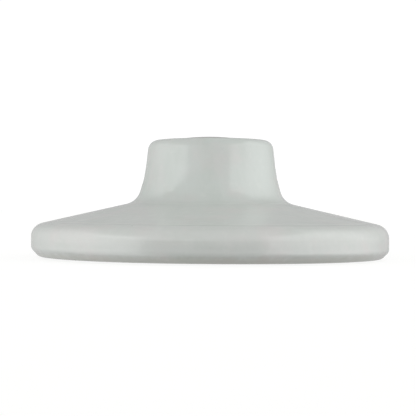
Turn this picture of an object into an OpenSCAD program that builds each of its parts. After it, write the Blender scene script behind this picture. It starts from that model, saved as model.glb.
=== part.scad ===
// Fence insulator: a glazed porcelain stand-off. A wide disc seats on the post, and a tapered
// boss carries the live wire under a domed terminal screw. Two threaded brass bushes are
// cemented into the porcelain, one in the underside for the fixing and one in the boss.
// Millimetres, +Z up along the boss, origin at the centre of the face that meets the post.

/* [Porcelain] */
// Diameter of the disc
disc_d = 100; // [96:1:110]
// Height of the porcelain, from its foot to the top of the boss
body_h = 32.9; // [32:0.1:38]
// Height at which the upper face of the disc would meet its edge if that were square
disc_edge_h = 8.8; // [8:0.1:11]
// Radius that rounds the upper edge of the disc
disc_upper_round = 4; // [2:0.1:5]
// Radius that rounds the lower edge of the disc
disc_lower_round = 2.8; // [1:0.1:3]
// Radius of the boss at its top if that edge were square
boss_top_r = 17.4; // [17:0.1:19]
// Radius that rounds the top edge of the boss
boss_top_round = 2.8; // [1:0.1:4]

/* [Underside] */
// How far the gasket stands below the porcelain
gasket_proud = 0.3; // [0.2:0.05:0.6]
// Outer radius of the foot ring that bears on the post
foot_r = 35.5; // [35:0.5:36]
// Radius at which the drip groove ends and the disc's edge begins
drip_r = 43; // [42:0.5:43]
// Depth of the drip groove
drip_depth = 3.6; // [3:0.1:3.8]
// Depth of the hollow between the centre and the foot ring
core_depth = 3.6; // [3:0.1:3.8]

/* [Wire seat] */
// Radius of the round seat sunk into the boss
seat_r = 11.5; // [11.3:0.1:12]
// Width of the groove that the fence wire lies in
wire_groove_w = 4; // [3:0.5:5]
// Diameter of the terminal screw's head
head_d = 22; // [20:0.5:22]
// How far the head's dome rises above its rim
dome_rise = 0.9; // [0.6:0.1:1.5]
// Across-flats size of the hexagon socket in the head
socket_af = 5; // [4:1:5]

/* [Hidden] */

$fn = 96;
arc_step = 7.5;             // degrees of turn between two points of a rounded corner
eps = 0.01;

// Levels, from the post upwards
foot_z = gasket_proud;
top_z = foot_z + body_h;

// The disc's upper face and the boss's flared side, as corners before they are rounded
disc_r = disc_d / 2;
slope_rise = 0.231;         // fall of the disc's upper face per millimetre outwards
boss_foot_r = 20.8;
boss_foot_z = foot_z + disc_edge_h + slope_rise * (disc_r - boss_foot_r);
boss_waist_r = boss_top_r + 1.2;
boss_waist_z = top_z - 11;
boss_foot_round = 5;
boss_waist_round = 32;

// The stack under the screw's head: head rim, toothed washer, flat washer
head_rim = 1;
turn_gap = 0.05;            // clearance between a turning face or thread and what it turns in
lock_washer_t = 0.8;
wire_washer_t = 1.2;
seat_z = top_z - head_rim - turn_gap - lock_washer_t - wire_washer_t;
lock_washer_z = seat_z + wire_washer_t;
head_z = lock_washer_z + lock_washer_t + turn_gap;

// Head bush, its cement and the cork disc under it
head_cavity_r = 9;
head_bush_af = 13;
head_bush_l = 9;
head_bore_l = 8.4;
screw_r = 4;                // M8, drawn plain at its outer diameter
screw_l = 8.8;              // from the underside of the head
neck_r = 3.4;               // thinner than the thread, so the washers can't fall off
neck_l = 2.3;
washer_bore_r = 3.65;
head_cork_t = 0.8;
head_bush_z = seat_z - head_bush_l;
head_cavity_z = head_bush_z - head_cork_t;

// Base bush, its cement and the cork disc above it
base_cavity_r = 11.75;
base_bush_af = 17;
base_bush_l = 12;
base_bore_r = 4.25;         // M10, drawn plain at its tapping diameter
base_bore_l = 10.5;
base_bore_bevel = 0.9;
base_cork_t = 1;
base_cavity_z = foot_z + base_bush_l + base_cork_t;

cement_setback = 0.4;       // the cement stops this far short of each mouth
cork_gap = 0.15;            // the cork discs drop in with this much room all round
lock_depth = 0.7;           // depth of the grooves that key the cement
lock_w = 2.2;

// Underside rings
hub_r = 15;
core_r = 24.5;
gasket_in_r = 27;
gasket_out_r = 32.5;
gasket_groove = 1.5;

// ---- Outlines with rounded corners ----

function unit(v) = v / norm(v);

// Signed angle from a to b, from -180 to 180 degrees
function turn_between(a, b) = atan2(a[0] * b[1] - a[1] * b[0], a * b);

// Arc of radius r that touches both sides of the corner at p, or the corner itself
function corner_points(before, p, after, r) =
    r <= 0 ? [p] :
    let (
        u = unit(before - p),
        v = unit(after - p),
        half = acos(u * v) / 2,
        centre = p + unit(u + v) * r / sin(half),
        first = p + u * r / tan(half) - centre,
        last = p + v * r / tan(half) - centre,
        turn = turn_between(first, last),
        start = atan2(first[1], first[0]),
        steps = max(2, ceil(abs(turn) / arc_step))
    )
    [for (i = [0 : steps])
        let (a = start + turn * i / steps)
        centre + r * [cos(a), sin(a)]];

// A closed outline from corners given as [radius from the axis, height, rounding]
function rounded(corners) =
    let (n = len(corners), flat = [for (c = corners) [c[0], c[1]]])
    [for (i = [0 : n - 1])
        each corner_points(flat[(i + n - 1) % n], flat[i], flat[(i + 1) % n], corners[i][2])];

// A bevelled ring groove or ridge on a wall at radius r, centred at height z
function key_corners(r, z, depth, up) =
    let (s = up ? 1 : -1, h = lock_w / 2)
    [
        [r, z - s * h, 0],
        [r + depth, z - s * (h - depth / 2), 0],
        [r + depth, z + s * (h - depth / 2), 0],
        [r, z + s * h, 0]
    ];

// Heights of the key grooves that share the length of a cavity
base_keys = [for (i = [1 : 3]) foot_z + base_bush_l * (i - 0.5) / 3];
head_keys = [for (i = [1 : 2]) head_bush_z + head_bush_l * (i - 0.5) / 2];

// ---- Porcelain ----

// The underside, from the cavity's roof outwards to the disc's lower edge
function underside() = concat(
    [[0, base_cavity_z, 0], [base_cavity_r, base_cavity_z, 0.6]],
    [for (i = [2 : -1 : 0]) each key_corners(base_cavity_r, base_keys[i], lock_depth, false)],
    [
        [base_cavity_r, foot_z, 0.3],
        [hub_r, foot_z, 1],
        [hub_r + 0.4, foot_z + core_depth, 1.8],
        [core_r - 0.4, foot_z + core_depth, 1.8],
        [core_r, foot_z, 1],
        [gasket_in_r, foot_z, 0],
        [gasket_in_r, foot_z + gasket_groove, 0],
        [gasket_out_r, foot_z + gasket_groove, 0],
        [gasket_out_r, foot_z, 0],
        [foot_r, foot_z, 1],
        [foot_r + 0.4, foot_z + drip_depth, 2.4],
        [drip_r - 0.4, foot_z + drip_depth, 2.4],
        [drip_r, foot_z, 1.8],
        [disc_r, foot_z, disc_lower_round]
    ]
);

// The outside, from the disc's upper edge to the lip of the wire seat and down to the head cavity
function outside() = concat(
    [
        [disc_r, foot_z + disc_edge_h, disc_upper_round],
        [boss_foot_r, boss_foot_z, boss_foot_round],
        [boss_waist_r, boss_waist_z, boss_waist_round],
        [boss_top_r, top_z, boss_top_round],
        [seat_r, top_z, 0.6],
        [seat_r, seat_z, 0.6],
        [head_cavity_r, seat_z, 0.3]
    ],
    [for (i = [1 : -1 : 0]) each key_corners(head_cavity_r, head_keys[i], lock_depth, false)],
    [[head_cavity_r, head_cavity_z, 0.6], [0, head_cavity_z, 0]]
);

// Round-bottomed channel across the boss, level with the wire seat
module wire_groove() {
    r = wire_groove_w / 2;
    translate([0, 0, seat_z + r]) {
        rotate([0, 90, 0]) cylinder(r = r, h = disc_d, center = true);
        translate([-disc_r, -r, 0]) cube([disc_d, wire_groove_w, body_h]);
    }
}

module porcelain_body() {
    color("honeydew")
    difference() {
        rotate_extrude() polygon(rounded(concat(underside(), outside())));
        difference() {
            wire_groove();
            translate([0, 0, seat_z - eps]) cylinder(r = seat_r - 0.7, h = body_h);
        }
    }
}

// ---- Threaded bushes, cut from hexagon bar ----

function hex_r(af) = af / 2 / cos(30);

// Outside of a bush of length l, with a ring groove turned at each key height
module bush_blank(af, z, l, keys) {
    difference() {
        translate([0, 0, z]) cylinder(r = hex_r(af), h = l, $fn = 6);
        for (k = keys)
            rotate_extrude()
                translate([0, k])
                    polygon([
                        [af / 2 - lock_depth, -lock_w / 2 + lock_depth],
                        [af / 2 + 2 * lock_depth, -lock_w / 2 - lock_depth],
                        [af / 2 + 2 * lock_depth, lock_w / 2 + lock_depth],
                        [af / 2 - lock_depth, lock_w / 2 - lock_depth]
                    ]);
    }
}

module base_bush() {
    color("goldenrod")
    difference() {
        bush_blank(base_bush_af, foot_z, base_bush_l, base_keys);
        translate([0, 0, foot_z - eps]) cylinder(r = base_bore_r, h = base_bore_l + eps);
        translate([0, 0, foot_z - eps])
            cylinder(r1 = base_bore_r + base_bore_bevel + eps, r2 = base_bore_r, h = base_bore_bevel + eps);
    }
}

module head_bush() {
    bore_r = screw_r + turn_gap;
    color("goldenrod")
    difference() {
        bush_blank(head_bush_af, head_bush_z, head_bush_l, head_keys);
        translate([0, 0, seat_z - head_bore_l]) cylinder(r = bore_r, h = head_bore_l + eps);
    }
}

// ---- Cement round the bushes ----

// A plug that fills a keyed cavity from z to z + l
module keyed_plug(r, z, l, keys) {
    n = len(keys);
    rotate_extrude()
        polygon(rounded(concat(
            [[0, z, 0], [r, z, 0]],
            [for (i = [0 : n - 1]) each key_corners(r, keys[i], lock_depth, true)],
            [[r, z + l, 0], [0, z + l, 0]]
        )));
}

module base_cement() {
    color("gray")
    difference() {
        keyed_plug(base_cavity_r, foot_z + cement_setback, base_bush_l - cement_setback, base_keys);
        bush_blank(base_bush_af, foot_z, base_bush_l, base_keys);
    }
}

module head_cement() {
    color("gray")
    difference() {
        keyed_plug(head_cavity_r, head_bush_z, head_bush_l - cement_setback, head_keys);
        bush_blank(head_bush_af, head_bush_z, head_bush_l, head_keys);
    }
}

// ---- Cork discs that take up the swelling of the cement ----

module cork_disc(r, z, t) {
    color("peru") translate([0, 0, z]) cylinder(r = r - cork_gap - 0.6, h = t);
}

module base_cork_disc() { cork_disc(base_cavity_r, foot_z + base_bush_l, base_cork_t); }

module head_cork_disc() { cork_disc(head_cavity_r, head_cavity_z, head_cork_t); }

// ---- Gasket in the foot ring ----

module base_gasket() {
    edge = 0.3;
    color("dimgray")
    rotate_extrude()
        polygon(rounded([
            [gasket_in_r, 0, edge],
            [gasket_out_r, 0, edge],
            [gasket_out_r, foot_z + gasket_groove, 0],
            [gasket_in_r, foot_z + gasket_groove, 0]
        ]));
}

// ---- Terminal: washers and screw ----

module wire_washer() {
    outer_r = head_d / 2 - 0.5;
    edge = 0.2;
    color("silver")
    rotate_extrude()
        polygon([
            [washer_bore_r, seat_z],
            [outer_r - edge, seat_z],
            [outer_r, seat_z + edge],
            [outer_r, seat_z + wire_washer_t - edge],
            [outer_r - edge, seat_z + wire_washer_t],
            [washer_bore_r, seat_z + wire_washer_t]
        ]);
}

module lock_washer() {
    outer_r = 7.5;
    ring_r = 6;
    teeth = 10;
    tooth_w = 1.5;
    color("lightgray")
    translate([0, 0, lock_washer_z])
    difference() {
        cylinder(r = outer_r, h = lock_washer_t);
        translate([0, 0, -eps]) difference() {
            cylinder(r = ring_r, h = lock_washer_t + 2 * eps);
            for (i = [0 : teeth - 1])
                rotate([0, 0, 360 * i / teeth])
                    translate([0, -tooth_w / 2, -eps])
                        cube([ring_r + 1, tooth_w, lock_washer_t + 4 * eps]);
        }
        translate([0, 0, -eps]) cylinder(r = washer_bore_r, h = lock_washer_t + 2 * eps);
    }
}

module terminal_screw() {
    head_r = head_d / 2;
    dome_r = (head_r * head_r + dome_rise * dome_rise) / (2 * dome_rise);
    socket_depth = 3.4;
    crown_z = head_z + head_rim + dome_rise;
    tip = 0.6;
    color("lightsteelblue")
    difference() {
        union() {
            intersection() {
                translate([0, 0, head_z]) cylinder(r = head_r, h = head_rim + dome_rise);
                translate([0, 0, crown_z - dome_r]) sphere(r = dome_r, $fn = 200);
            }
            translate([0, 0, head_z - neck_l - eps]) cylinder(r = neck_r, h = neck_l + 2 * eps);
            translate([0, 0, head_z - screw_l + tip]) cylinder(r = screw_r, h = screw_l - neck_l - tip);
            translate([0, 0, head_z - screw_l]) cylinder(r1 = screw_r - tip, r2 = screw_r, h = tip);
        }
        translate([0, 0, crown_z - socket_depth])
            cylinder(r = hex_r(socket_af), h = socket_depth + 1, $fn = 6);
    }
}

porcelain_body();
base_bush();
base_cement();
base_cork_disc();
base_gasket();
head_bush();
head_cement();
head_cork_disc();
wire_washer();
lock_washer();
terminal_screw();
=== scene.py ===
"""Looks of a glazed porcelain fence insulator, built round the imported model.

The porcelain, its cemented brass bushes, the gasket and the terminal are each a surface of two
parameters worked out with numpy: an outline of rounded corners carried round the axis, with
threads, hexagons and the potter's unevenness added to it as whole arrays. Sizes in the classes are in
millimetres from the face that meets the post; meshes are in metres.
"""
import logging
import math
from dataclasses import dataclass
from enum import Enum
from typing import Any, ClassVar, Sequence, Union

import bpy
import numpy as np
from mathutils import Euler, Matrix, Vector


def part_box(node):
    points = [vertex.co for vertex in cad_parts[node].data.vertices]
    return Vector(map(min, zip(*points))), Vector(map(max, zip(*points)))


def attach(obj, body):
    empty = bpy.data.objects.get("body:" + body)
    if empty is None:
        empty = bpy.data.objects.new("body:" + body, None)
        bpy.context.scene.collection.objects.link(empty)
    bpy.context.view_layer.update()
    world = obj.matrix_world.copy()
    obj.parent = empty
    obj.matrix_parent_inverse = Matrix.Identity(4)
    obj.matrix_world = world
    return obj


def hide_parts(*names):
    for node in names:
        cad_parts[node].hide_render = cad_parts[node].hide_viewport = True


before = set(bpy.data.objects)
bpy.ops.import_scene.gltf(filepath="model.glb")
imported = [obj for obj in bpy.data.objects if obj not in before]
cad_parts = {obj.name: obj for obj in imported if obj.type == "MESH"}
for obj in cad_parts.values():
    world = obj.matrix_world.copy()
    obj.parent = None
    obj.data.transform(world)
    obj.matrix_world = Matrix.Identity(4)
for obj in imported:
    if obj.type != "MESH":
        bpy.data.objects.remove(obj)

LOG = logging.getLogger("fence_insulator")
MM = 0.001

Triple = tuple[float, float, float]
Colour = Triple
Corner = Triple
Row = tuple[Union[float, np.ndarray], float]
EVENLY: Triple = (1.0, 1.0, 1.0)
UNMOVED: Triple = (0.0, 0.0, 0.0)
ARC_STEP = 15.0


class Body(str, Enum):
    """The bodies that a piece can ride on."""

    INSULATOR = "insulator"
    WASHERS = "captive_washers"
    SCREW = "terminal_screw"


class Slot(str, Enum):
    """Names of material slots; no piece in this script is given one."""

    PORCELAIN = "glazed_porcelain"
    BRASS = "brass"
    CEMENT = "cement"
    RUBBER = "gasket_rubber"
    STAINLESS = "stainless_steel"
    NICKEL = "nickelled_steel"


class Thread(Enum):
    """Metric threads as (outer diameter, pitch) in millimetres."""

    M8 = (8.0, 1.25)
    M10 = (10.0, 1.5)

    @property
    def radius(self) -> float:
        """Outer radius in millimetres."""
        return self.value[0] / 2

    @property
    def pitch(self) -> float:
        """Pitch in millimetres."""
        return self.value[1]

    @property
    def depth(self) -> float:
        """Depth of a metric thread: 0.613 times its pitch."""
        return 0.613 * self.value[1]


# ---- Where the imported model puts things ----


def span_mm(node: str) -> Triple:
    """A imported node's lowest and highest points and half its width along Y, in millimetres."""
    low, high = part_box(node)
    return low[2] / MM, high[2] / MM, (high[1] - low[1]) / 2 / MM


# ---- Outlines ----


def rounded_corner(before: np.ndarray, corner: np.ndarray, after: np.ndarray,
                   rounding: float, step: float) -> np.ndarray:
    """Points of the arc that rounds one corner of an outline.

    Its centre lies on the bisector, rounding / sin(half the corner's angle) from the corner. Its ends
    lie on the two sides, rounding / tan(half the angle) from it.

    Args:
        before: The outline's corner before this one, as (radius, height).
        corner: This corner.
        after: The corner after it.
        rounding: Radius of the arc; 0 keeps the sharp corner.
        step: Longest turn between two points, in degrees.

    Returns:
        An array of points, one row each.
    """
    if rounding <= 0:
        return corner[None]
    back = (before - corner) / np.linalg.norm(before - corner)
    on = (after - corner) / np.linalg.norm(after - corner)
    half = math.acos(float(np.clip(back @ on, -1, 1))) / 2
    bisector = (back + on) / np.linalg.norm(back + on)
    centre = corner + bisector * rounding / math.sin(half)
    first = corner + back * rounding / math.tan(half) - centre
    last = corner + on * rounding / math.tan(half) - centre
    turn = math.atan2(first[0] * last[1] - first[1] * last[0], float(first @ last))
    start = math.atan2(first[1], first[0])
    count = max(3, math.ceil(abs(math.degrees(turn)) / step) + 1)
    angle = start + turn * np.linspace(0, 1, count)
    return centre + rounding * np.stack([np.cos(angle), np.sin(angle)], axis=1)


def outline(corners: Sequence[Corner], spacing: float = 1.2, step: float = 9.0,
            closed: bool = False) -> np.ndarray:
    """An outline through rounded corners, with extra points along its straight runs.

    Args:
        corners: Corners as (radius from the axis, height, rounding).
        spacing: Longest gap between two points of a straight run.
        step: Longest turn between two points of an arc, in degrees.
        closed: Whether the last corner joins the first.

    Returns:
        An array of (radius, height) rows.
    """
    flat = np.array([corner[:2] for corner in corners], dtype=float)
    runs: list[np.ndarray] = []
    for i, (_, _, rounding) in enumerate(corners):
        end = not closed and i in (0, len(corners) - 1)
        after = flat[(i + 1) % len(flat)]
        runs.append(rounded_corner(flat[i - 1], flat[i], after, 0 if end else rounding, step))
    pieces: list[np.ndarray] = []
    joins = len(runs) if closed else len(runs) - 1
    for i, run in enumerate(runs):
        pieces.append(run)
        if i < joins:
            pieces.append(straight_run(run[-1], runs[(i + 1) % len(runs)][0], spacing))
    return np.concatenate(pieces)


def straight_run(start: np.ndarray, end: np.ndarray, spacing: float) -> np.ndarray:
    """Points between two ends: one close to each, so that shading stays flat, and even ones between.

    Args:
        start: First end as (radius, height).
        end: Last end.
        spacing: Longest gap between two of the points.

    Returns:
        An array of points, which is empty on a very short run.
    """
    shortest, end_gap = 0.05, 0.22
    length = float(np.linalg.norm(end - start))
    if length < shortest:
        return np.empty((0, 2))
    margin = min(end_gap, length / 3)
    inner = np.linspace(margin, length - margin, max(2, math.ceil((length - 2 * margin) / spacing) + 1))
    return start + (end - start) * inner[:, None] / length


# ---- Radii that change round the axis ----


def round_angles(count: int) -> np.ndarray:
    """Evenly spaced angles round a full turn, in radians."""
    return np.linspace(0, 2 * math.pi, count, endpoint=False)


def hexagon(theta: np.ndarray, across_flats: float, nose: float = 0.0) -> np.ndarray:
    """Radius of a hexagon with a corner at angle 0.

    Half the distance across flats, over the cosine of the angle from the nearest flat's middle, and no
    more than the radius of a circle that takes the sharp corners off.

    Args:
        theta: Angles in radians.
        across_flats: Distance across flats.
        nose: How much the turned circle takes off each corner.

    Returns:
        Radii of the same shape as theta.
    """
    sector = math.pi / 3
    from_flat = np.mod(theta, sector) - sector / 2
    return np.minimum(across_flats / 2 / np.cos(from_flat), across_flats / 2 / math.cos(sector / 2) - nose)


def thread_ridge(theta: np.ndarray, height: np.ndarray, pitch: float,
                 phase: float = 0.0) -> np.ndarray:
    """How far up a thread's tooth each point stands, from 0 in the root to 1 on the crest.

    The height over the pitch, less the angle over a turn, gives the place in a tooth. Its distance
    from the root rises straight up the 60 degree flank and is cut off flat at root and crest.

    Args:
        theta: Angles in radians.
        height: Heights, of a shape that broadcasts with theta.
        pitch: Pitch of a right-hand thread.
        phase: Shift of the tooth, in turns.

    Returns:
        Values from 0 to 1.
    """
    flat_root, flank = 0.2, 0.68
    place = np.mod(height / pitch - theta / (2 * math.pi) + phase, 1.0)
    rise = 1 - np.abs(2 * place - 1)
    return np.clip((rise - flat_root) / flank, 0, 1)


def waves(theta: np.ndarray, along: np.ndarray, seed: int, count: int = 7) -> np.ndarray:
    """Gentle unevenness with a root mean square of 1.

    A sum of cosines, each with a few whole waves round the axis, a slow wave along the outline, and
    a phase drawn from a seeded generator.

    Args:
        theta: Angles in radians.
        along: Distance along the outline in millimetres, of a shape that broadcasts with theta.
        seed: Seed of the generator.
        count: How many cosines are added.

    Returns:
        The unevenness at each point.
    """
    slowest, quickest = 0.02, 0.16
    draw = np.random.default_rng(seed)
    total = np.zeros(np.broadcast_shapes(theta.shape, along.shape))
    for order in range(1, count + 1):
        phase, slow = draw.uniform(0, 2 * math.pi), draw.uniform(slowest, quickest)
        total = total + np.cos(order * theta + slow * along + phase) / math.sqrt(order)
    return total / max(float(total.std()), 1e-9)


# ---- Meshes ----


def grid_faces(rows: int, columns: int, ring: bool) -> tuple[np.ndarray, np.ndarray]:
    """Faces of a grid whose columns go round the axis.

    Quads join each row to the next. On a ring the last row joins the first; otherwise the first
    and last rows are single points, joined by triangles.

    Args:
        rows: Number of rows, poles included.
        columns: Number of points round the axis.
        ring: Whether the last row joins the first.

    Returns:
        The quads and the triangles, as arrays of vertex numbers.
    """
    at = np.arange(columns)
    after = (at + 1) % columns
    if ring:
        first = np.arange(rows)[:, None] * columns
        second = (np.arange(rows)[:, None] + 1) % rows * columns
        quads = np.stack([first + at, first + after, second + after, second + at], axis=-1)
        return quads.reshape(-1, 4), np.empty((0, 3), dtype=int)
    first = 1 + np.arange(rows - 3)[:, None] * columns
    quads = np.stack([first + at, first + after, first + columns + after, first + columns + at], axis=-1)
    last = 1 + (rows - 3) * columns
    pole = 1 + (rows - 2) * columns
    start_fan = np.stack([np.zeros_like(at), 1 + after, 1 + at], axis=-1)
    end_fan = np.stack([np.full_like(at, pole), last + at, last + after], axis=-1)
    return quads.reshape(-1, 4), np.concatenate([start_fan, end_fan])


def signed_volume(points: np.ndarray, triangles: np.ndarray) -> float:
    """Sum of the signed tetrahedra from the origin: positive when faces look outwards."""
    a, b, c = (points[triangles[:, i]] for i in range(3))
    return float(np.einsum("ij,ij->i", a, np.cross(b, c)).sum() / 6)


def turned_piece(name: str, theta: np.ndarray, radius: np.ndarray, height: np.ndarray,
                 ring: bool = False) -> bpy.types.Object:
    """A closed piece from radii and heights on a grid.

    A point is (radius cos angle, radius sin angle, height). Without ring, the first and last rows lie on
    the axis and become one point each. Faces are turned round if the enclosed volume is negative.

    Args:
        name: Name of the piece.
        theta: Angles of the columns, in radians.
        radius: Radii in millimetres, one row per point of the outline.
        height: Heights in millimetres, of the same shape or broadcastable to it.
        ring: Whether the outline is a loop round a hole, so that the last row joins the first.

    Returns:
        The new object, in metres at the origin, with smooth faces.
    """
    height = np.broadcast_to(height, radius.shape)
    grid = np.stack([radius * np.cos(theta), radius * np.sin(theta), height], axis=-1) * MM
    rows, columns = radius.shape
    if ring:
        points = grid.reshape(-1, 3)
    else:
        poles = [np.array([[0.0, 0.0, grid[i, 0, 2]]]) for i in (0, -1)]
        points = np.concatenate([poles[0], grid[1:-1].reshape(-1, 3), poles[1]])
    quads, triangles = grid_faces(rows, columns, ring)
    halves = np.concatenate([quads[:, [0, 1, 2]], quads[:, [0, 2, 3]], triangles])
    if signed_volume(points, halves) < 0:
        quads, triangles = quads[:, ::-1], triangles[:, ::-1]
    mesh = bpy.data.meshes.new(name)
    mesh.vertices.add(len(points))
    mesh.vertices.foreach_set("co", points.astype(np.float32).ravel())
    loops = np.concatenate([quads.ravel(), triangles.ravel()])
    starts = np.concatenate([np.arange(len(quads)) * 4, len(quads) * 4 + np.arange(len(triangles)) * 3])
    mesh.loops.add(len(loops))
    mesh.loops.foreach_set("vertex_index", loops.astype(np.int32))
    mesh.polygons.add(len(starts))
    mesh.polygons.foreach_set("loop_start", starts.astype(np.int32))
    mesh.polygons.foreach_set("use_smooth", np.ones(len(starts), dtype=bool))
    mesh.update(calc_edges=True)
    mesh.validate()
    piece = bpy.data.objects.new(name, mesh)
    bpy.context.scene.collection.objects.link(piece)
    return piece


def level_rows(theta: np.ndarray, rows: Sequence[Row]) -> tuple[np.ndarray, np.ndarray]:
    """Grid rows that are each level, and round unless their radius is given as an array.

    Args:
        theta: Angles of the columns.
        rows: Radius, or radii, and height of each row in millimetres.

    Returns:
        The radii, one row each, and the heights as a column.
    """
    radii = np.stack([np.broadcast_to(radius, theta.shape) for radius, _ in rows])
    return radii, np.array([[height] for _, height in rows])


def ring_piece(name: str, loop: np.ndarray, columns: int) -> bpy.types.Object:
    """A loop of (radius, height) points carried round the axis as a closed ring."""
    theta = round_angles(columns)
    return turned_piece(name, theta, loop[:, :1] + 0 * theta, loop[:, 1:], ring=True)


# ---- Placing ----


def place_piece(piece: bpy.types.Object, material: bpy.types.Material, body: Body,
                node: str) -> None:
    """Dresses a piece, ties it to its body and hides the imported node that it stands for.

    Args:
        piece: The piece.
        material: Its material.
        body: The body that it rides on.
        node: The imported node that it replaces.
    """
    piece.data.materials.append(material)
    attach(piece, body.value)
    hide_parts(node)
    LOG.info("%s: %d faces, rides on %s", piece.name, len(piece.data.polygons), body.value)


def redress(node: str, material: bpy.types.Material) -> None:
    """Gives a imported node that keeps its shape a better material.

    Args:
        node: Name of the node.
        material: Its new material.
    """
    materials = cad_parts[node].data.materials
    if len(materials):
        materials[0] = material
    else:
        materials.append(material)
    LOG.info("%s: redressed", node)


# ---- Shader maths ----


class Value:
    """A shader socket. Python's operators on it add Math nodes."""

    def __init__(self, graph: "Graph", socket: bpy.types.NodeSocket) -> None:
        """Keeps an output socket and the graph that new nodes go into."""
        self.graph = graph
        self.socket = socket

    def _math(self, operation: str, *values: "Number") -> "Value":
        """One Math node on the given values."""
        return self.graph.node("ShaderNodeMath", {"operation": operation}, dict(enumerate(values)))

    def __add__(self, other: "Number") -> "Value":
        """This plus other."""
        return self._math("ADD", self, other)

    def __sub__(self, other: "Number") -> "Value":
        """This minus other."""
        return self._math("SUBTRACT", self, other)

    def __rsub__(self, other: "Number") -> "Value":
        """Other minus this."""
        return self._math("SUBTRACT", other, self)

    def __mul__(self, other: "Number") -> "Value":
        """This times other."""
        return self._math("MULTIPLY", self, other)

    def __pow__(self, other: "Number") -> "Value":
        """This to the power of other."""
        return self._math("POWER", self, other)

    __radd__ = __add__
    __rmul__ = __mul__

    def step(self, start: float, end: float) -> "Value":
        """A smooth rise from 0 at start to 1 at end, which may be the lower of the two."""
        ends = {"Value": self, "From Min": min(start, end), "From Max": max(start, end)}
        rise = self.graph.node("ShaderNodeMapRange", {"interpolation_type": "SMOOTHSTEP"}, ends)
        return rise if start < end else 1 - rise

    def band(self, low: float, high: float, soft: float) -> "Value":
        """1 between low and high, falling to 0 over the distance soft outside them."""
        return self.step(low - soft, low) * self.step(high + soft, high)

    def least(self, other: "Number") -> "Value":
        """The smaller of this and other."""
        return self._math("MINIMUM", self, other)

    def most(self, other: "Number") -> "Value":
        """The larger of this and other."""
        return self._math("MAXIMUM", self, other)


Number = Union[Value, float]


class Graph:
    """A node tree that is emptied, then filled through one method."""

    def __init__(self, tree: bpy.types.NodeTree) -> None:
        """Empties the tree that new nodes go into."""
        self.tree = tree
        self.tree.nodes.clear()

    def node(self, kind: str, settings: dict[str, Any] | None = None,
             sockets: dict[Any, Any] | None = None, output: str | None = None) -> Value:
        """Adds a node, sets it up, then gives its sockets their values or links.

        Args:
            kind: Blender's name for the node's type.
            settings: Attributes to set first.
            sockets: Input names, identifiers or numbers, and the value or the Value for each.
            output: Name or identifier of the output that is returned, or None for the first.

        Returns:
            The chosen output.
        """
        made = self.tree.nodes.new(kind)
        for key, setting in (settings or {}).items():
            setattr(made, key, setting)
        for key, value in (sockets or {}).items():
            target = made.inputs[key] if isinstance(key, int) else self._socket(made.inputs, key)
            if isinstance(value, Value):
                self.tree.links.new(value.socket, target)
            else:
                target.default_value = value
        return Value(self, self._socket(made.outputs, output) if output else made.outputs[0])

    @staticmethod
    def _socket(sockets: Any, key: str) -> bpy.types.NodeSocket:
        """The socket whose identifier, or else whose name, is key."""
        named = [socket for socket in sockets if socket.identifier == key]
        return named[0] if named else sockets[key]

    def link(self, value: Value, kind: str) -> None:
        """Links a shader to a new output node of the given kind."""
        output = self.tree.nodes.new(kind)
        self.tree.links.new(value.socket, output.inputs["Surface"])


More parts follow.
